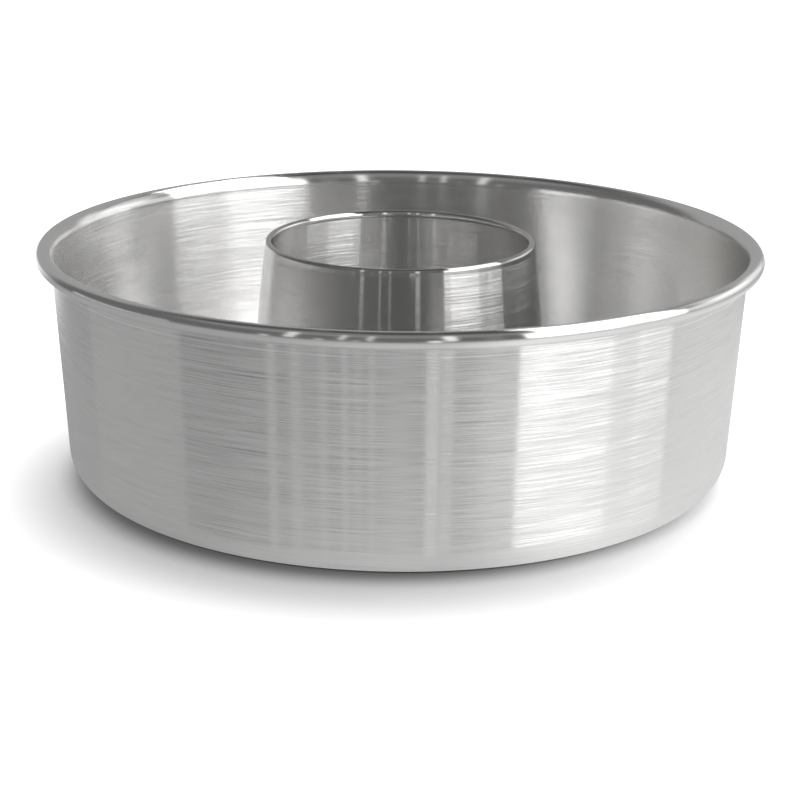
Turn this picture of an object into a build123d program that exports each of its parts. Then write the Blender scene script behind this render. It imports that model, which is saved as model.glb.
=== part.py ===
from build123d import *
from math import acos, atan2, copysign, cos, degrees, radians, sin, sqrt, tan
import os

# Angel food cake pan: a spun aluminium shell, and a core that lifts out of it. The core is a loose
# base plate with a conical tube seamed to its middle. Every piece is turned about +Z. Lengths are
# millimetres, angles are degrees, and the origin is the centre of the foot, on the table.

# Shell
shell_sheet = 1.0  # thickness of the shell's aluminium
pan_height = 81.0  # table to the top of the rim
mouth_radius = 120.0  # the inside of the wall, carried on to the height of the rim
wall_lean = 3.1  # how far the wall leans out from upright
corner_radius = 10.0  # outside of the bend from the foot to the wall
ledge_overlap = 11.0  # how far the foot reaches in under the base plate

# Rim
wire_radius = 1.7
wire_clearance = 0.05  # between the wire and the sheet rolled round it
roll_tuck = 0.35  # how far the roll is tucked in over the wall's outside
roll_gap = 0.15  # between the roll's cut edge and the wall
lip_ease = 3.25  # by how much the lip's bend is wider than the roll

# Base plate
plate_sheet = 1.0
plate_clearance = 0.4  # between the plate's edge and the start of the shell's corner bend
collar_bend = 1.0  # inside of the bend where the hole's edge turns down into the collar
collar_depth = 2.0  # upright part of the collar
hub_width = 8.0  # flat top of the hub round the tube
hub_bend = 7.0  # inside of both bends where the hub slopes down to the plate

# Centre tube
tube_sheet = 0.8
tube_drop = 0.4  # top of the tube below the top of the rim
tube_top_radius = 47.4  # outside of the curl
tube_lean = 5.8  # how far the tube leans in from upright
curl_hollow = 0.5  # inside radius of the curl
curl_gap = 0.15  # between the curl's cut edge and the tube's inside
neck_bend = 8.0  # outside of the bend where the cone turns upright to pass through the hole

# Seam between the tube and the collar
seam_clearance = 0.05
seam_height = 1.0  # table to the lowest point of the seam
hook_leg = 1.8  # how far the tube's hook comes back up outside the collar

shortest_run = 0.000001  # ends nearer than this need no straight run between them


def along(angle, length):
    # A step of this length in the direction of the angle, in the radius and height plane.
    return Vector(length * cos(radians(angle)), length * sin(radians(angle)))


def skin(bends, lead, tail, shift):
    # One side of a sheet's section: bends of (centre, radius, first angle, sweep) joined by straight
    # runs, with a straight lead and tail, all moved over to the right of the path by the shift.
    arcs = [
        CenterArc(centre, radius + copysign(shift, sweep), first, sweep)
        for centre, radius, first, sweep in bends
    ]
    ends = [arcs[0] @ 0 - (arcs[0] % 0) * lead]
    for arc in arcs:
        ends += [arc @ 0, arc @ 1]
    ends.append(arcs[-1] @ 1 + (arcs[-1] % 1) * tail)
    runs = [Line(a, b) for a, b in zip(ends[::2], ends[1::2]) if (b - a).length > shortest_run]
    return arcs + runs, ends[0], ends[-1]


def turned_sheet(bends, thickness, lead=0, tail=0):
    # A sheet turned about Z. The bends are one skin, and the metal lies on the right of the path.
    near, near_start, near_end = skin(bends, lead, tail, 0)
    far, far_start, far_end = skin(bends, lead, tail, thickness)
    caps = [Line(near_start, far_start), Line(near_end, far_end)]
    with BuildPart() as sheet:
        with BuildSketch(Plane.XZ):
            with BuildLine():
                add(near + far + caps)
            make_face()
        revolve(axis=Axis.Z)
    return sheet.part


# Shell: the wall's inside is a straight line that leans out, between the corner and the lip.
wall_slope = tan(radians(wall_lean))
corner_skin = corner_radius - shell_sheet
corner_centre = Vector(
    mouth_radius - (pan_height - corner_radius) * wall_slope - corner_skin / cos(radians(wall_lean)),
    corner_radius,
)
plate_radius = corner_centre.X - plate_clearance
ledge_radius = plate_radius - ledge_overlap

# Rim: the sheet leaves the wall on the lip's wide bend and runs on into the tighter roll.
roll_radius = wire_radius + wire_clearance + shell_sheet
roll_stand = roll_radius + shell_sheet - roll_tuck  # the wall's inside to the roll's centre
roll_centre = Vector(
    mouth_radius - roll_radius * wall_slope + roll_stand / cos(radians(wall_lean)),
    pan_height - roll_radius,
)
rim_radius = roll_centre.X + roll_radius
lip_radius = roll_radius + lip_ease
lip_shift = lip_radius - roll_stand
lip_drop = sqrt(lip_ease**2 - lip_shift**2)  # down the wall, from the roll's centre to the lip's
lip_centre = roll_centre + along(-wall_lean, lip_shift) - along(90 - wall_lean, lip_drop)
lip_end = degrees(atan2(roll_centre.Y - lip_centre.Y, roll_centre.X - lip_centre.X))
roll_end = 180 - wall_lean + degrees(acos((roll_radius - roll_tuck - roll_gap) / roll_radius))

# Seam: the tube's foot hooks round the lower edge of the base plate's collar.
hook_radius = plate_sheet / 2 + seam_clearance
hook_height = seam_height + hook_radius + tube_sheet
collar_end = hook_height + seam_clearance
collar_top = collar_end + collar_depth
hub_height = collar_top + collar_bend + plate_sheet

# Centre tube: curl, cone, and the neck that stands upright in the collar.
curl_radius = curl_hollow + tube_sheet
curl_centre = Vector(tube_top_radius - curl_radius, pan_height - tube_drop - curl_radius)
curl_sweep = 360 - degrees(acos((curl_hollow - curl_gap) / curl_radius))
cone_top = curl_centre + along(tube_lean, curl_radius)
cone_drop = cone_top.Y - collar_top - neck_bend * sin(radians(tube_lean))
cone_foot = cone_top + Vector(cone_drop * tan(radians(tube_lean)), -cone_drop)
neck_centre = cone_foot - along(tube_lean, neck_bend)
neck_radius = neck_centre.X + neck_bend
hook_centre = Vector(neck_radius + hook_radius, hook_height)

# Base plate: collar, flat hub, and the slope down to the flat that lies on the ledge.
plate_top = shell_sheet + plate_sheet
collar_radius = neck_radius + seam_clearance
collar_centre = Vector(collar_radius + collar_bend + plate_sheet, collar_top)
slope_angle = degrees(acos(1 - (hub_height - plate_top) / (2 * hub_bend + plate_sheet)))
slope_run = (2 * hub_bend + plate_sheet) * sin(radians(slope_angle))
crest_centre = Vector(collar_centre.X + hub_width, hub_height - hub_bend - plate_sheet)
valley_centre = Vector(crest_centre.X + slope_run, plate_top + hub_bend)


def make_pan_shell():
    # The inside skin: ledge and foot, corner bend, wall, lip and roll.
    bends = [
        (corner_centre, corner_skin, -90, 90 - wall_lean),
        (lip_centre, lip_radius, 180 - wall_lean, lip_end + wall_lean - 180),
        (roll_centre, roll_radius, lip_end, roll_end - lip_end - 360),
    ]
    return turned_sheet(bends, shell_sheet, lead=corner_centre.X - ledge_radius)


def make_rim_wire():
    return Location((0, 0, roll_centre.Y)) * Torus(roll_centre.X, wire_radius)


def make_base_plate():
    # The top skin: collar, bend out of the hole, hub, both bends of the slope, and the flat.
    bends = [
        (collar_centre, collar_bend + plate_sheet, 180, -90),
        (crest_centre, hub_bend + plate_sheet, 90, -slope_angle),
        (valley_centre, hub_bend, -90 - slope_angle, slope_angle),
    ]
    return turned_sheet(bends, plate_sheet, lead=collar_depth, tail=plate_radius - valley_centre.X)


def make_centre_tube():
    # The outside skin, from the top: curl, cone, neck, and the hook that grips the collar.
    bends = [
        (curl_centre, curl_radius, tube_lean + curl_sweep, -curl_sweep),
        (neck_centre, neck_bend, tube_lean, -tube_lean),
        (hook_centre, hook_radius, 180, 180),
    ]
    return turned_sheet(bends, tube_sheet, tail=hook_leg)


nodes = {
    "pan_shell": make_pan_shell(),
    "rim_wire": make_rim_wire(),
    "base_plate": make_base_plate(),
    "centre_tube": make_centre_tube(),
}

os.makedirs("parts", exist_ok=True)
for name, solid in nodes.items():
    export_step(solid, f"parts/{name}.step")

print(f"rim diameter {2 * rim_radius:.2f}, foot ring radius {ledge_radius:.2f} to {corner_centre.X:.2f}")
print(f"plate radius {plate_radius:.2f}, neck radius {neck_radius:.2f}, hub height {hub_height:.2f}")
print(f"hub from radius {collar_radius:.2f}, slope from {crest_centre.X:.2f} to {valley_centre.X:.2f}")
print(f"roll centre {roll_centre.X:.2f}, {roll_centre.Y:.2f}, lip centre {lip_centre.X:.2f}, {lip_centre.Y:.2f}")
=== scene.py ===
import bpy
import numpy as np
from math import acos, atan2, ceil, cos, degrees, pi, radians, sin, sqrt, tan
from mathutils import Euler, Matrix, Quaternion, Vector


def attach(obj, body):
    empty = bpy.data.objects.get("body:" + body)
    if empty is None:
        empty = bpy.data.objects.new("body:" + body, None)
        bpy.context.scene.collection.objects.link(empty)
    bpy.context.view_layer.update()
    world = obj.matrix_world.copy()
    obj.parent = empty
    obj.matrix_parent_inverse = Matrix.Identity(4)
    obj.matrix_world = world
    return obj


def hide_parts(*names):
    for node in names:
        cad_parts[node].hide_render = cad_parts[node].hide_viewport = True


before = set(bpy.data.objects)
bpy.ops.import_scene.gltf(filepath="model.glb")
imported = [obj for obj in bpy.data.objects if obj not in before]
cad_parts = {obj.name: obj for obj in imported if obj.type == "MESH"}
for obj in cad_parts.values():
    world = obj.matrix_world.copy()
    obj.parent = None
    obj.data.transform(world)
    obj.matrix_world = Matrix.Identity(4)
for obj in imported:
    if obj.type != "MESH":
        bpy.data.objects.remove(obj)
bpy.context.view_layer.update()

# An angel food cake pan in spun aluminium: a shell with a wired rim, and a core that lifts out of it,
# which is a base plate with a conical tube seamed to its middle. Lengths are metres, angles degrees.

scene = bpy.context.scene
scene.view_settings.view_transform = "Standard"
scene.cycles.glossy_bounces = 10  # light bounces about between the walls
mm = 0.001
fewestSteps = 3  # on a bend
edgeSteps = 4  # on each corner of a cut edge
print("frame loaded:", ", ".join(sorted(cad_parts)))


def along(angle, length):
    # a step of this length in the direction of the angle, in the radius and height plane
    return np.array([length * cos(radians(angle)), length * sin(radians(angle))])


def skinLine(bends, lead, tail, shift, bendStep):
    # One side of a sheet. A bend is centre + (radius + shift, with the sweep's sign) * (cos a, sin a),
    # with a running evenly over the sweep. Straight runs join the bends, and lead and tail end them.
    # The way along a bend is the sweep's sign * (-sin a, cos a).
    points, ways = [], []
    for centre, radius, first, sweep in bends:
        steps = max(fewestSteps, ceil(abs(sweep) / bendStep))
        a = np.radians(np.linspace(first, first + sweep, steps + 1))
        turn = np.sign(sweep)
        points.append(centre + (radius + turn * shift) * np.stack([np.cos(a), np.sin(a)], 1))
        ways.append(turn * np.stack([-np.sin(a), np.cos(a)], 1))
    if lead > 0:
        points.insert(0, points[0][:1] - ways[0][:1] * lead)
        ways.insert(0, ways[0][:1])
    if tail > 0:
        points.append(points[-1][-1:] + ways[-1][-1:] * tail)
        ways.append(ways[-1][-1:])
    return np.concatenate(points), np.concatenate(ways)


def sheetOutline(bends, thickness, edge, bendStep, lead=0, tail=0):
    # The closed outline of a sheet's section: the near skin, a cut edge with its corners rounded,
    # the far skin on the right of the path, and the other cut edge. Each corner is a quarter circle
    # from one skin's facing to the cut edge's. Returns points, facings and the length run so far.
    bends = [list(bend) for bend in bends]
    if lead > 0:
        lead = lead - edge
    else:
        trim = np.sign(bends[0][3]) * degrees(edge / bends[0][1])
        bends[0][2] = bends[0][2] + trim
        bends[0][3] = bends[0][3] - trim
    if tail > 0:
        tail = tail - edge
    else:
        bends[-1][3] = bends[-1][3] - np.sign(bends[-1][3]) * degrees(edge / bends[-1][1])
    near, nearWay = skinLine(bends, lead, tail, 0, bendStep)
    far, farWay = skinLine(bends, lead, tail, thickness, bendStep)
    left = np.stack([-nearWay[:, 1], nearWay[:, 0]], 1)
    right = np.stack([farWay[:, 1], -farWay[:, 0]], 1)
    quarter = np.linspace(0, pi / 2, edgeSteps + 1)[:, None]

    def corner(at, start, end):
        # centre + edge * (start * cos t + end * sin t)
        facing = start * np.cos(quarter) + end * np.sin(quarter)
        return at + edge * facing, facing

    ends = []
    for at, way, side in ((near[-1], nearWay[-1], right[-1]), (near[0], -nearWay[0], right[0])):
        first = corner(at + side * edge, -side, way)
        second = corner(at + side * (thickness - edge), way, side)
        ends.append([np.concatenate(pair) for pair in zip(first, second)])
    points = np.concatenate([near[:-1], ends[0][0], far[-2:0:-1], ends[1][0][::-1][:-1]])
    facings = np.concatenate([left[:-1], ends[0][1], right[-2:0:-1], ends[1][1][::-1][:-1]])
    steps = np.linalg.norm(np.roll(points, -1, 0) - points, axis=1)
    return points, facings, np.concatenate([[0], np.cumsum(steps)])


def lathe(name, outline, turns):
    # The outline (r, z) carried round Z: (r cos u, r sin u, z), with u running evenly over a full turn.
    # The UV map holds the share of the turn and the length along the outline, in metres.
    points, facings, run = outline
    rows = len(points)
    u = np.linspace(0, 2 * pi, turns, endpoint=False)
    ring = np.stack([np.cos(u), np.sin(u)], 1)

    def carried(pair):
        # (rows, turns, 3) from pairs of (outward, upward)
        flat = pair[:, None, :1] * ring[None, :, :]
        up = np.broadcast_to(pair[:, None, 1:], (rows, turns, 1))
        return np.concatenate([flat, up], 2).reshape(-1, 3)

    places, normals = carried(points), carried(facings)
    i, j = np.meshgrid(np.arange(rows), np.arange(turns), indexing="ij")
    nextRow, nextTurn = (i + 1) % rows, (j + 1) % turns
    corners = np.stack([i * turns + j, nextRow * turns + j,
                        nextRow * turns + nextTurn, i * turns + nextTurn], 2)
    lengthwise = np.stack([run[i], run[i + 1], run[i + 1], run[i]], 2)
    around = np.stack([j, j, j + 1, j + 1], 2) / turns
    origin, nextUp, nextRound = (places[corners[:, 0, n]] for n in (0, 1, 3))
    across = np.cross(nextUp - origin, nextRound - origin)
    if (across * normals[corners[:, 0, 0]]).sum() < 0:  # turn the faces outward
        corners, lengthwise, around = (grid[:, :, ::-1] for grid in (corners, lengthwise, around))
    corners = corners.reshape(-1, 4)
    mesh = bpy.data.meshes.new(name)
    mesh.vertices.add(len(places))
    mesh.vertices.foreach_set("co", places.astype(np.float32).ravel())
    mesh.loops.add(corners.size)
    mesh.loops.foreach_set("vertex_index", corners.astype(np.int32).ravel())
    mesh.polygons.add(len(corners))
    mesh.polygons.foreach_set("loop_start", np.arange(0, corners.size, 4, dtype=np.int32))
    mesh.polygons.foreach_set("loop_total", np.full(len(corners), 4, dtype=np.int32))
    mesh.update()
    uv = mesh.uv_layers.new(name="spun")
    flatUv = np.stack([around.ravel(), lengthwise.ravel()], 1)
    uv.data.foreach_set("uv", flatUv.astype(np.float32).ravel())
    mesh.shade_smooth()
    mesh.normals_split_custom_set_from_vertices(normals)
    piece = bpy.data.objects.new(name, mesh)
    scene.collection.objects.link(piece)
    print(name, "has", 2 * len(corners), "triangles")
    return piece


shellSizes = {
    "sheet": 1.0 * mm,
    "height": 81.0 * mm,
    "mouthRadius": 120.0 * mm,  # inside of the wall carried on to the rim's height
    "wallLean": 3.1,
    "cornerRadius": 10.0 * mm,
    "ledgeReach": 11.4 * mm,  # the foot's flat, from the ledge's edge to the corner
    "rollRadius": 2.75 * mm,
    "rollTuck": 0.35 * mm,  # how far the roll is tucked in over the wall's outside
    "rollGap": 0.15 * mm,  # between the roll's cut edge and the wall
    "lipEase": 3.25 * mm,  # by how much the lip's bend is wider than the roll
    "edge": 0.2 * mm,  # rounding of the cut edges
    "bendStep": 7.0,
    "turns": 640,
}


def makeShell():
    # The inside skin, from the ledge's edge: foot, corner bend, wall, lip and roll. The wall's line is
    # r = mouth radius - (height - z) * tan(lean). The corner's and the roll's centres stand off it by
    # their distance / cos(lean), and the lip's centre is where its bend meets both wall and roll.
    s = shellSizes
    sheet, height, lean, roll = s["sheet"], s["height"], s["wallLean"], s["rollRadius"]
    slope = tan(radians(lean))
    corner = s["cornerRadius"] - sheet
    cornerOut = s["mouthRadius"] - (height - s["cornerRadius"]) * slope - corner / cos(radians(lean))
    cornerCentre = np.array([cornerOut, s["cornerRadius"]])
    stand = roll + sheet - s["rollTuck"]
    rollOut = s["mouthRadius"] - roll * slope + stand / cos(radians(lean))
    rollCentre = np.array([rollOut, height - roll])
    lip = roll + s["lipEase"]
    shift = lip - stand
    lipDrop = sqrt(s["lipEase"]**2 - shift**2)
    lipCentre = rollCentre + along(-lean, shift) - along(90 - lean, lipDrop)
    lipEnd = degrees(atan2(rollCentre[1] - lipCentre[1], rollCentre[0] - lipCentre[0]))
    rollEnd = 180 - lean + degrees(acos((roll - s["rollTuck"] - s["rollGap"]) / roll))
    bends = [
        (cornerCentre, corner, -90, 90 - lean),
        (lipCentre, lip, 180 - lean, lipEnd + lean - 180),
        (rollCentre, roll, lipEnd, rollEnd - lipEnd - 360),
    ]
    outline = sheetOutline(bends, sheet, s["edge"], s["bendStep"], lead=s["ledgeReach"])
    return lathe("shell", outline, s["turns"])


plateSizes = {
    "sheet": 1.0 * mm,
    "radius": 106.74 * mm,
    "rest": 1.0 * mm,  # height of the ledge that it lies on
    "holeRadius": 55.02 * mm,
    "collarTop": 4.4 * mm,
    "collarDepth": 2.0 * mm,
    "collarBend": 2.0 * mm,  # outside of the bend
    "hubWidth": 8.0 * mm,
    "hubBend": 7.0 * mm,
    "edge": 0.2 * mm,
    "bendStep": 4.0,
    "turns": 640,
}


def makePlate():
    # The top skin, from the collar's foot: collar, bend out of the hole, hub, slope and flat. The
    # slope's angle is acos(1 - drop / (2 * bend + sheet)), because its two bends share the drop.
    s = plateSizes
    sheet, bend = s["sheet"], s["hubBend"]
    plateTop = s["rest"] + sheet
    hubTop = s["collarTop"] + s["collarBend"]
    slope = degrees(acos(1 - (hubTop - plateTop) / (2 * bend + sheet)))
    collarCentre = np.array([s["holeRadius"] + s["collarBend"], s["collarTop"]])
    crest = np.array([collarCentre[0] + s["hubWidth"], hubTop - bend - sheet])
    valley = np.array([crest[0] + (2 * bend + sheet) * sin(radians(slope)), plateTop + bend])
    bends = [
        (collarCentre, s["collarBend"], 180, -90),
        (crest, bend + sheet, 90, -slope),
        (valley, bend, -90 - slope, slope),
    ]
    flat = s["radius"] - valley[0]
    outline = sheetOutline(bends, sheet, s["edge"], s["bendStep"], lead=s["collarDepth"], tail=flat)
    return lathe("plate", outline, s["turns"])


tubeSizes = {
    "sheet": 0.8 * mm,
    "top": 80.6 * mm,
    "topRadius": 47.4 * mm,  # outside of the curl
    "lean": 5.8,
    "curlHollow": 0.5 * mm,
    "curlGap": 0.15 * mm,  # between the curl's cut edge and the tube's inside
    "neckBend": 8.0 * mm,
    "neckTop": 4.4 * mm,
    "hookRadius": 0.55 * mm,
    "hookHeight": 2.35 * mm,
    "hookLeg": 1.8 * mm,
    "edge": 0.15 * mm,
    "bendStep": 9.0,
    "turns": 640,
}


def makeTube():
    # The outside skin, from the curl's cut edge: curl, cone, neck and hook. The cone runs down by the
    # drop and out by drop * tan(lean), to where the neck's bend meets it.
    s = tubeSizes
    sheet, lean = s["sheet"], s["lean"]
    curl = s["curlHollow"] + sheet
    curlCentre = np.array([s["topRadius"] - curl, s["top"] - curl])
    curlSweep = 360 - degrees(acos((s["curlHollow"] - s["curlGap"]) / curl))
    coneTop = curlCentre + along(lean, curl)
    drop = coneTop[1] - s["neckTop"] - s["neckBend"] * sin(radians(lean))
    neckCentre = coneTop + np.array([drop * tan(radians(lean)), -drop]) - along(lean, s["neckBend"])
    hookCentre = np.array([neckCentre[0] + s["neckBend"] + s["hookRadius"], s["hookHeight"]])
    bends = [
        (curlCentre, curl, lean + curlSweep, -curlSweep),
        (neckCentre, s["neckBend"], lean, -lean),
        (hookCentre, s["hookRadius"], 180, 180),
    ]
    outline = sheetOutline(bends, sheet, s["edge"], s["bendStep"], tail=s["hookLeg"])
    return lathe("tube", outline, s["turns"])


def addNode(tree, kind, settings=None, **sockets):
    # A node of this kind, with its settings, and a number, colour or link for each named socket. A
    # socket is named with _ for a space, or by its place: i0, i1 and so on.
    node = tree.nodes.new(kind)
    for name, value in (settings or {}).items():
        setattr(node, name, value)
    for name, value in sockets.items():
        key = int(name[1:]) if name[0] == "i" and name[1:].isdigit() else name.replace("_", " ")
        if isinstance(value, bpy.types.NodeSocket):
            tree.links.new(value, node.inputs[key])
        else:
            node.inputs[key].default_value = value
    return node


def calc(tree, operation, *values):
    # one Math node's output, with the values in its sockets in turn
    sockets = {f"i{place}": value for place, value in enumerate(values)}
    return addNode(tree, "ShaderNodeMath", {"operation": operation}, **sockets).outputs[0]


def vectorCalc(tree, operation, *values, result="Vector"):
    # one Vector Math node's output, with the values in its sockets in turn
    sockets = {f"i{place}": value for place, value in enumerate(values)}
    return addNode(tree, "ShaderNodeVectorMath", {"operation": operation}, **sockets).outputs[result]


def ramp(tree, value, start, end, low=0.0, high=1.0, kind="SMOOTHSTEP"):
    # low up to start, high from end on, and between them a smooth step or a straight line
    return addNode(tree, "ShaderNodeMapRange", {"interpolation_type": kind}, Value=value,
                   From_Min=start, From_Max=end, To_Min=low, To_Max=high).outputs[0]


def newMaterial(name):
    # an empty node material and its tree
    material = bpy.data.materials.new(name)
    material.use_nodes = True
    material.node_tree.nodes.clear()
    return material, material.node_tree


def strokes(tree, place, run, length, width, detail, roughness=0.6):
    # brush strokes along the turn: noise at (x / length, y / length, run / width)
    x, y = (calc(tree, "MULTIPLY", place.outputs[axis], 1 / length) for axis in "XY")
    spot = addNode(tree, "ShaderNodeCombineXYZ", X=x, Y=y, Z=calc(tree, "MULTIPLY", run, 1 / width))
    noise = addNode(tree, "ShaderNodeTexNoise", Vector=spot.outputs[0], Scale=1.0, Detail=detail,
                    Roughness=roughness)
    return noise.outputs["Fac"]


def brushedAluminium(name, look):
    # Brushing is a small tilt of the surface: facing + way across * fan + way round * skew, where fan
    # and skew are brush strokes centred on zero. The same strokes shade the metal a little. A face is
    # inside where facing . place < 0, and there the strokes and roughness differ, and the colour is
    # scaled by a painted light gain.
    material, tree = newMaterial(name)
    coordinates = addNode(tree, "ShaderNodeTexCoord").outputs["Object"]
    place = addNode(tree, "ShaderNodeSeparateXYZ", Vector=coordinates)
    spun = addNode(tree, "ShaderNodeUVMap", {"uv_map": "spun"}).outputs[0]
    run = addNode(tree, "ShaderNodeSeparateXYZ", Vector=spun).outputs["Y"]
    around = addNode(tree, "ShaderNodeTangent", {"direction_type": "UV_MAP", "uv_map": "spun"}).outputs[0]
    facing = addNode(tree, "ShaderNodeNewGeometry").outputs["Normal"]
    across = vectorCalc(tree, "CROSS_PRODUCT", facing, around)
    outward = vectorCalc(tree, "DOT_PRODUCT", facing, coordinates, result="Value")
    inside = calc(tree, "LESS_THAN", outward, 0.0)

    def centred(value, amount):
        # (value - 0.5) * amount
        return calc(tree, "MULTIPLY", calc(tree, "SUBTRACT", value, 0.5), amount)

    def onInside(amount):
        # the amount on the inside, and 1 elsewhere
        return calc(tree, "MULTIPLY_ADD", inside, amount - 1.0, 1.0)

    def tilted(normal, way, amount):
        # normal + way * amount
        thrice = addNode(tree, "ShaderNodeCombineXYZ", X=amount, Y=amount, Z=amount).outputs[0]
        return vectorCalc(tree, "MULTIPLY_ADD", way, thrice, normal)

    hair = strokes(tree, place, run, look["hairLength"], look["hairWidth"], detail=1.0)
    fine = strokes(tree, place, run, look["fineLength"], look["fineWidth"], detail=3.0)
    broad = strokes(tree, place, run, look["broadLength"], look["broadWidth"], detail=2.0)
    rings = strokes(tree, place, run, look["ringLength"], look["ringWidth"], detail=2.0, roughness=0.5)
    haze = addNode(tree, "ShaderNodeTexNoise", Vector=coordinates, Scale=look["hazeScale"],
                   Detail=4.0).outputs["Fac"]
    fine = calc(tree, "MULTIPLY_ADD", calc(tree, "SUBTRACT", fine, 0.5), onInside(look["insideFine"]), 0.5)

    # the rolled edge is brighter and smoother than the wall
    polish = ramp(tree, place.outputs["Z"], *look["polishFrom"], low=1.0, high=look["polishFan"])
    fan = calc(tree, "MULTIPLY_ADD", centred(hair, look["hairFan"]), onInside(look["insideHair"]),
               centred(fine, look["fineFan"]))
    fan = calc(tree, "MULTIPLY", calc(tree, "ADD", fan, centred(rings, look["ringFan"])), polish)
    skew = calc(tree, "ADD", centred(fine, look["fineSkew"]), centred(broad, look["broadSkew"]))
    tilt = vectorCalc(tree, "NORMALIZE", tilted(tilted(facing, across, fan), around, skew))

    shade = calc(tree, "ADD", centred(fine, look["fineShade"]), centred(broad, look["broadShade"]))
    shade = calc(tree, "ADD", calc(tree, "ADD", shade, centred(haze, look["hazeShade"])), 1.0)
    # painted light: the inside's colour is scaled up or down by its own gain
    shade = calc(tree, "MULTIPLY", shade, onInside(look["paintedInsideLight"]))
    if "highlightLineHeight" in look:  # a painted highlight line round the outside, under the rim
        off = calc(tree, "ABSOLUTE", calc(tree, "SUBTRACT", place.outputs["Z"], look["highlightLineHeight"]))
        line = ramp(tree, off, look["highlightLineWidth"], 0.0, high=look["highlightLineGain"], kind="LINEAR")
        shade = calc(tree, "MULTIPLY_ADD", line, calc(tree, "SUBTRACT", 1.0, inside), shade)
    grey = addNode(tree, "ShaderNodeCombineColor", Red=shade, Green=shade, Blue=shade).outputs[0]
    # a Mix node's sockets 6 and 7 are its two colours, and output 2 is the mixed one
    colour = addNode(tree, "ShaderNodeMix", {"data_type": "RGBA", "blend_type": "MULTIPLY"},
                     i0=1.0, i6=(*look["colour"], 1.0), i7=grey).outputs[2]
    rough = calc(tree, "ADD", centred(broad, look["broadRough"]), centred(haze, look["hazeRough"]))
    rough = calc(tree, "ADD", rough, look["roughness"])
    rough = calc(tree, "MULTIPLY_ADD", calc(tree, "MULTIPLY", inside, polish), look["insideRough"], rough)

    # a quarter turn lays the anisotropy along the strokes
    metal = addNode(tree, "ShaderNodeBsdfPrincipled", Base_Color=colour, Metallic=1.0, Roughness=rough,
                    Anisotropic=look["anisotropy"], Anisotropic_Rotation=0.25, Normal=tilt, Tangent=around)
    addNode(tree, "ShaderNodeOutputMaterial", Surface=metal.outputs[0])
    return material


# Each kind of stroke has a length along the turn and a width across it, and amounts by which it tilts
# the surface across (fan) and along (skew), shades it and roughens it. On the inside the colour is
# multiplied by paintedInsideLight, a painted light, the fine strokes and the hair strokes by fine and
# hair, and rough is added.
shellLook = {
    "colour": (0.90, 0.897, 0.89),
    "roughness": 0.14, "anisotropy": 1.0,
    "paintedInsideLight": 1.0, "insideFine": 0.5, "insideHair": 0.6, "insideRough": 0.09,
    "hairLength": 30 * mm, "hairWidth": 0.03 * mm, "hairFan": 2.2,
    "fineLength": 26 * mm, "fineWidth": 0.36 * mm, "fineFan": 0.08, "fineSkew": 0.008, "fineShade": 0.065,
    "broadLength": 50 * mm, "broadWidth": 1.4 * mm, "broadSkew": 0.006, "broadShade": 0.05,
    "broadRough": 0.02,
    "ringLength": 400 * mm, "ringWidth": 3.0 * mm, "ringFan": 0.05,
    "hazeScale": 28.0, "hazeShade": 0.04, "hazeRough": 0.02,
    "polishFrom": (75.0 * mm, 76.5 * mm), "polishFan": 0.2,  # heights, and the share of the fan above them
    # a painted highlight line under the rim: its height, its half width and how much it lightens
    "highlightLineHeight": 72.3 * mm, "highlightLineWidth": 0.35 * mm, "highlightLineGain": 0.14,
}
plateLook = dict(shellLook)
tubeLook = {
    # darker than the shell's aluminium: painted shade on the tube's outside
    "colour": (0.62, 0.617, 0.61),
    "roughness": 0.12, "anisotropy": 1.0,
    # the tube's inside is painted lighter: painted light
    "paintedInsideLight": 1.5, "insideFine": 1.6, "insideHair": 1.0, "insideRough": 0.0,
    "hairLength": 30 * mm, "hairWidth": 0.013 * mm, "hairFan": 2.4,
    "fineLength": 22 * mm, "fineWidth": 0.40 * mm, "fineFan": 0.03, "fineSkew": 0.006, "fineShade": 0.03,
    "broadLength": 50 * mm, "broadWidth": 1.4 * mm, "broadSkew": 0.004, "broadShade": 0.02,
    "broadRough": 0.01,
    "ringLength": 400 * mm, "ringWidth": 3.0 * mm, "ringFan": 0.02,
    "hazeScale": 28.0, "hazeShade": 0.03, "hazeRough": 0.01,
    "polishFrom": (77.8 * mm, 78.6 * mm), "polishFan": 0.2,
}
wireLook = {"grainScale": 900.0, "darkest": 0.45, "palest": 0.62, "bump": 0.3, "bumpDepth": 0.02 * mm,
            "roughness": 0.4}


def makeWireSteel():
    # drawn steel: fine noise in Object coordinates sets the grey, from darkest to palest, and a bump
    material, tree = newMaterial("drawn steel")
    coordinates = addNode(tree, "ShaderNodeTexCoord").outputs["Object"]
    grain = addNode(tree, "ShaderNodeTexNoise", Vector=coordinates, Scale=wireLook["grainScale"],
                    Detail=3.0).outputs["Fac"]
    tone = ramp(tree, grain, 0.0, 1.0, wireLook["darkest"], wireLook["palest"], kind="LINEAR")
    colour = addNode(tree, "ShaderNodeCombineColor", Red=tone, Green=tone, Blue=tone).outputs[0]
    bump = addNode(tree, "ShaderNodeBump", Strength=wireLook["bump"], Distance=wireLook["bumpDepth"],
                   Height=grain).outputs[0]
    steel = addNode(tree, "ShaderNodeBsdfPrincipled", Base_Color=colour, Metallic=1.0,
                    Roughness=wireLook["roughness"], Normal=bump)
    addNode(tree, "ShaderNodeOutputMaterial", Surface=steel.outputs[0])
    return material


shell = makeShell()
shell.data.materials.append(brushedAluminium("spun aluminium, shell", shellLook))
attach(shell, "shell")
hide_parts("pan_shell")

plate = makePlate()
plate.data.materials.append(brushedAluminium("spun aluminium, plate", plateLook))
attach(plate, "core")
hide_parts("base_plate")

tube = makeTube()
tube.data.materials.append(brushedAluminium("spun aluminium, tube", tubeLook))
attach(tube, "core")
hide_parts("centre_tube")

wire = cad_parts["rim_wire"]
wire.data.materials.clear()
wire.data.materials.append(makeWireSteel())
print("pan made")


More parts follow.
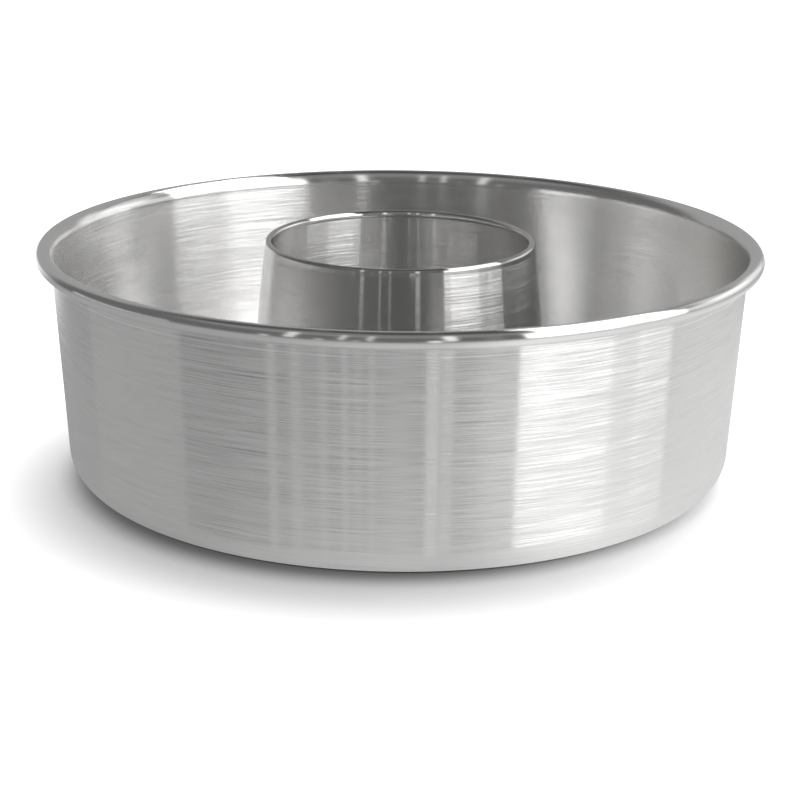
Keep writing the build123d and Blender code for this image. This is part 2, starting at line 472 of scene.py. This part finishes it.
floorLook = {
    "size": 12.0,
    "drop": 0.0001,  # just under the pan's foot
    "colour": (0.92, 0.92, 0.92),
    # distances from fadeCentre at which the floor starts to glow, and has its whole glow
    "fadeCentre": (-0.008, -0.02, 0.0), "fadeStart": 0.090, "fadeEnd": 0.140, "glow": 0.4,
    # a painted contact shadow where the pan touches: distances over which the paper is painted darker and
    # is pale again
    "contactCentre": (-0.0046, -0.0066, 0.0), "contactIn": (0.078, 0.098), "contactOut": (0.1035, 0.118),
    "paintedShadow": 0.35,
}


def seenRays(tree):
    # 1 for what the camera, metal and glass see of the background
    path = addNode(tree, "ShaderNodeLightPath")
    seen = calc(tree, "MAXIMUM", path.outputs["Is Camera Ray"], path.outputs["Is Glossy Ray"])
    return calc(tree, "MAXIMUM", seen, path.outputs["Is Transmission Ray"])


def makeFloor():
    # A square of matt paper. Its colour is scaled by the larger of two ramps, which paints a dark ring of
    # contact shadow under the pan, and away from the pan it glows for seen rays, to meet the white
    # background.
    half = floorLook["size"] / 2
    mesh = bpy.data.meshes.new("floor")
    mesh.from_pydata([(-half, -half, 0), (half, -half, 0), (half, half, 0), (-half, half, 0)],
                     [], [(0, 1, 2, 3)])
    floor = bpy.data.objects.new("floor", mesh)
    floor.location.z = -floorLook["drop"]
    scene.collection.objects.link(floor)
    material, tree = newMaterial("pale floor")
    place = addNode(tree, "ShaderNodeTexCoord").outputs["Object"]
    distance = vectorCalc(tree, "DISTANCE", place, floorLook["fadeCentre"], result="Value")
    nearness = vectorCalc(tree, "DISTANCE", place, floorLook["contactCentre"], result="Value")
    fade = ramp(tree, distance, floorLook["fadeStart"], floorLook["fadeEnd"])
    glow = calc(tree, "MULTIPLY", calc(tree, "MULTIPLY", fade, floorLook["glow"]), seenRays(tree))
    # painted shadow: the paper's colour is darkened in a ring under the pan's foot
    darken = ramp(tree, nearness, *floorLook["contactIn"], low=1.0, high=floorLook["paintedShadow"])
    lighten = ramp(tree, nearness, *floorLook["contactOut"], low=floorLook["paintedShadow"], high=1.0)
    paintedShadow = calc(tree, "MAXIMUM", darken, lighten)
    tint = addNode(tree, "ShaderNodeVectorMath", {"operation": "SCALE"}, i0=floorLook["colour"],
                   Scale=paintedShadow).outputs[0]
    paper = addNode(tree, "ShaderNodeBsdfDiffuse", Color=tint)
    light = addNode(tree, "ShaderNodeEmission", Strength=glow)
    both = addNode(tree, "ShaderNodeAddShader", i0=paper.outputs[0], i1=light.outputs[0])
    addNode(tree, "ShaderNodeOutputMaterial", Surface=both.outputs[0])
    mesh.materials.append(material)


worldLook = {"ambient": 0.72}


def makeWorld():
    # white all round, of strength 1 for seen rays and ambient for the others
    world = bpy.data.worlds.new("studio")
    world.use_nodes = True
    scene.world = world
    tree = world.node_tree
    tree.nodes.clear()
    seen = calc(tree, "MULTIPLY", seenRays(tree), 1 - worldLook["ambient"])
    strength = calc(tree, "ADD", seen, worldLook["ambient"])
    back = addNode(tree, "ShaderNodeBackground", Color=(1.0, 1.0, 1.0, 1.0), Strength=strength)
    addNode(tree, "ShaderNodeOutputWorld", Surface=back.outputs[0])


# What the metal mirrors: a bowl of grey paper round the pan with paler windows and strips in it. Only
# reflections see it. Turn is degrees from the camera's side toward the right, rise is degrees up. A
# band reaches half to each side of its turn, soft is the softness of its sides and fade that of its
# foot and top.
bowl = {
    "outline": [(0.0, 0.0004), (0.052, 0.0004), (0.112, 0.0004), (0.20, 0.0006), (0.40, 0.001),
                (1.2, 0.002), (1.2, 0.44), (1.2, 1.2), (0.55, 1.5), (0.001, 1.5)],
    "turns": 96,
    "centre": 0.04,  # height that rise is measured from
    "level": 0.07,
    "arch": 0.956,
    "archEnd": 0.55,
}
plainBands = {
    "walls": {"turn": 0, "half": 200, "soft": 1, "rise": (-1, 55), "fade": 8, "level": 0.065},
    "ground": {"turn": 0, "half": 200, "soft": 1, "rise": (-34, -3), "fade": 4, "level": 0.3},
    "groundFront": {"turn": 10, "half": 30, "soft": 25, "rise": (-34, -8), "fade": 3, "level": 0.17},
    "groundRight": {"turn": 80, "half": 60, "soft": 15, "rise": (-34, -6), "fade": 3, "level": 0.38},
    "hole": {"turn": 0, "half": 200, "soft": 1, "rise": (-100, -36), "fade": 1, "level": 0.02},
    "holeWindow": {"turn": 86, "half": 28, "soft": 3, "rise": (-100, -36), "fade": 1, "level": 0.8},
    "holeLeft": {"turn": -48, "half": 12, "soft": 5, "rise": (-100, -36), "fade": 1, "level": 0.15},
    "beside": {"turn": 119, "half": 28, "soft": 6, "rise": (-1, 24), "fade": 6, "level": 0.67},
    "besideHigh": {"turn": 121, "half": 13, "soft": 4, "rise": (12, 40), "fade": 8, "level": 0.5},
    "backdrop": {"turn": 188, "half": 45, "soft": 10, "rise": (-1, 45), "fade": 6, "level": 0.22},
    "backdropFoot": {"turn": 190, "half": 40, "soft": 14, "rise": (-8, 0), "fade": 3, "level": 0.7},
    "frontHigh": {"turn": -15, "half": 75, "soft": 15, "rise": (45, 80), "fade": 6, "level": 0.15},
}
# these lean over the pan the way brushed walls spread them, so that their sides stay sharp
archedBands = {
    "window": {"turn": 52.3, "half": 16, "soft": 1.2, "rise": (-1, 30), "fade": 4, "level": 1.9},
    "windowFrame": {"turn": 74, "half": 5.6, "soft": 1.2, "rise": (-1, 30), "fade": 4, "level": 1.25},
    "windowSide": {"turn": 86, "half": 7, "soft": 1.5, "rise": (-1, 30), "fade": 4, "level": 1.65},
    "windowHigh": {"turn": 66.5, "half": 24.5, "soft": 1.2, "rise": (26, 70), "fade": 9, "level": 2.4},
    "windowTop": {"turn": 52.3, "half": 16, "soft": 1.2, "rise": (26, 50), "fade": 7, "level": 0.9},
    "strip": {"turn": 10, "half": 1.9, "soft": 0.8, "rise": (-2, 8), "fade": 3, "level": 1.3},
    "farLeft": {"turn": -92, "half": 22, "soft": 1, "rise": (-1, 4), "fade": 1.5, "level": 0.7},
    "slim": {"turn": -38.5, "half": 1.4, "soft": 0.8, "rise": (-2, 8), "fade": 3, "level": 0.65},
    "slimTwo": {"turn": -22.5, "half": 1.3, "soft": 0.8, "rise": (-2, 8), "fade": 3, "level": 0.4},
    "slimThree": {"turn": -12, "half": 1.2, "soft": 0.8, "rise": (-2, 8), "fade": 3, "level": 0.3},
    "stripHigh": {"turn": 14.5, "half": 1.8, "soft": 0.8, "rise": (5, 60), "fade": 5, "level": 0.8},
    "warmHigh": {"turn": 27, "half": 3, "soft": 1.5, "rise": (-1, 40), "fade": 5, "level": 0.06},
    "slimHigh": {"turn": -31, "half": 1.6, "soft": 0.8, "rise": (5, 60), "fade": 5, "level": 0.6},
    "slimHighTwo": {"turn": -16, "half": 0.9, "soft": 0.6, "rise": (5, 60), "fade": 5, "level": 0.5},
    "slimHighThree": {"turn": -8, "half": 0.9, "soft": 0.6, "rise": (5, 60), "fade": 5, "level": 0.45},
}


def bandsLevel(tree, place):
    # The bowl's level + the sum over the bands of level * (1 inside the turn) * (1 inside the rise),
    # with soft edges. A plain band's turn is atan2(x, -y), and an arched band's is
    # 2 atan2(x, arch * distance - y), or the plain one behind the pan, where y > archEnd * distance.
    spot = addNode(tree, "ShaderNodeSeparateXYZ", Vector=place)
    x, y = spot.outputs["X"], spot.outputs["Y"]
    up = calc(tree, "SUBTRACT", spot.outputs["Z"], bowl["centre"])
    flat = calc(tree, "ADD", calc(tree, "MULTIPLY", x, x), calc(tree, "MULTIPLY", y, y))
    distance = calc(tree, "SQRT", calc(tree, "MULTIPLY_ADD", up, up, flat))
    rise = calc(tree, "DEGREES", calc(tree, "ARCTAN2", up, calc(tree, "SQRT", flat)))
    plain = calc(tree, "DEGREES", calc(tree, "ARCTAN2", x, calc(tree, "MULTIPLY", y, -1.0)))
    ahead = calc(tree, "SUBTRACT", calc(tree, "MULTIPLY", distance, bowl["arch"]), y)
    arched = calc(tree, "MULTIPLY", calc(tree, "DEGREES", calc(tree, "ARCTAN2", x, ahead)), 2.0)
    behind = calc(tree, "GREATER_THAN", y, calc(tree, "MULTIPLY", distance, bowl["archEnd"]))
    arched = calc(tree, "MULTIPLY", arched, calc(tree, "SUBTRACT", 1.0, behind))
    arched = calc(tree, "MULTIPLY_ADD", plain, behind, arched)

    total = bowl["level"]
    for bands, turn in ((plainBands, plain), (archedBands, arched)):
        for band in bands.values():
            off = calc(tree, "WRAP", calc(tree, "SUBTRACT", turn, band["turn"]), -180.0, 180.0)
            off = calc(tree, "ABSOLUTE", off)
            low, high = band["rise"]
            within = ramp(tree, off, band["half"] + band["soft"], band["half"] - band["soft"])
            foot = ramp(tree, rise, low - band["fade"], low + band["fade"])
            top = ramp(tree, rise, high + band["fade"], high - band["fade"])
            within = calc(tree, "MULTIPLY", calc(tree, "MULTIPLY", within, foot), top)
            total = calc(tree, "MULTIPLY_ADD", within, band["level"], total)
    return total


def makeBowl():
    # the outline (r, z) carried round Z: (r cos u, r sin u, z)
    outline = np.array(bowl["outline"])
    turns = bowl["turns"]
    u = np.linspace(0, 2 * pi, turns, endpoint=False)
    radii, heights = outline[:, :1], np.repeat(outline[:, 1:], turns, 1)
    places = np.stack([radii * np.cos(u), radii * np.sin(u), heights], 2)
    i, j = np.meshgrid(np.arange(len(outline) - 1), np.arange(turns), indexing="ij")
    nextTurn = (j + 1) % turns
    faces = np.stack([i * turns + j, i * turns + nextTurn,
                      (i + 1) * turns + nextTurn, (i + 1) * turns + j], 2)
    mesh = bpy.data.meshes.new("bowl")
    mesh.from_pydata(places.reshape(-1, 3).tolist(), [], faces.reshape(-1, 4).tolist())
    paper = bpy.data.objects.new("bowl", mesh)
    scene.collection.objects.link(paper)
    material, tree = newMaterial("bowl paper")
    level = bandsLevel(tree, addNode(tree, "ShaderNodeTexCoord").outputs["Object"])
    light = addNode(tree, "ShaderNodeEmission", Strength=level)
    addNode(tree, "ShaderNodeOutputMaterial", Surface=light.outputs[0])
    mesh.materials.append(material)
    material.cycles.emission_sampling = "NONE"
    paper.visible_camera = False
    paper.visible_diffuse = False
    paper.visible_transmission = False
    paper.visible_volume_scatter = False
    paper.visible_shadow = False


softbox = {"at": (0.16, 0.5, 1.3), "aim": (0.0, 0.0, 0.04), "size": (1.1, 1.1), "watts": 12.0}


def makeLamp():
    # one soft lamp above and behind, facing the aim, which the metal doesn't mirror
    lamp = bpy.data.lights.new("overhead", "AREA")
    lamp.shape = "RECTANGLE"
    lamp.size, lamp.size_y = softbox["size"]
    lamp.energy = softbox["watts"]
    light = bpy.data.objects.new("overhead", lamp)
    light.location = softbox["at"]
    light.rotation_mode = "QUATERNION"
    light.rotation_quaternion = (Vector(softbox["aim"]) - Vector(softbox["at"])).to_track_quat("-Z", "Y")
    light.visible_glossy = False
    scene.collection.objects.link(light)


cameraSizes = {
    "distance": 0.69465,  # from a point on the axis at the aim's height
    "aimHeight": 0.0378,
    "elevation": 16.293,
    "pitch": 17.606,
    "yaw": -0.039,
    "roll": 0.5424,
    "lens": 87.56,
    "sensor": 36.0,
}


def makeCamera():
    # at the elevation in front of the axis, looking down by the pitch, then turned about its own view
    c = cameraSizes
    lens = bpy.data.cameras.new("camera")
    lens.lens = c["lens"]
    lens.sensor_width = c["sensor"]
    camera = bpy.data.objects.new("camera", lens)
    rise = radians(c["elevation"])
    camera.location = (0, -c["distance"] * cos(rise), c["aimHeight"] + c["distance"] * sin(rise))
    aim = Euler((radians(90 - c["pitch"]), 0, radians(c["yaw"]))).to_quaternion()
    camera.rotation_mode = "QUATERNION"
    camera.rotation_quaternion = aim @ Quaternion((0, 0, 1), radians(c["roll"]))
    scene.collection.objects.link(camera)
    scene.camera = camera


makeFloor()
makeWorld()
makeBowl()
makeLamp()
makeCamera()
print("stage and camera made")
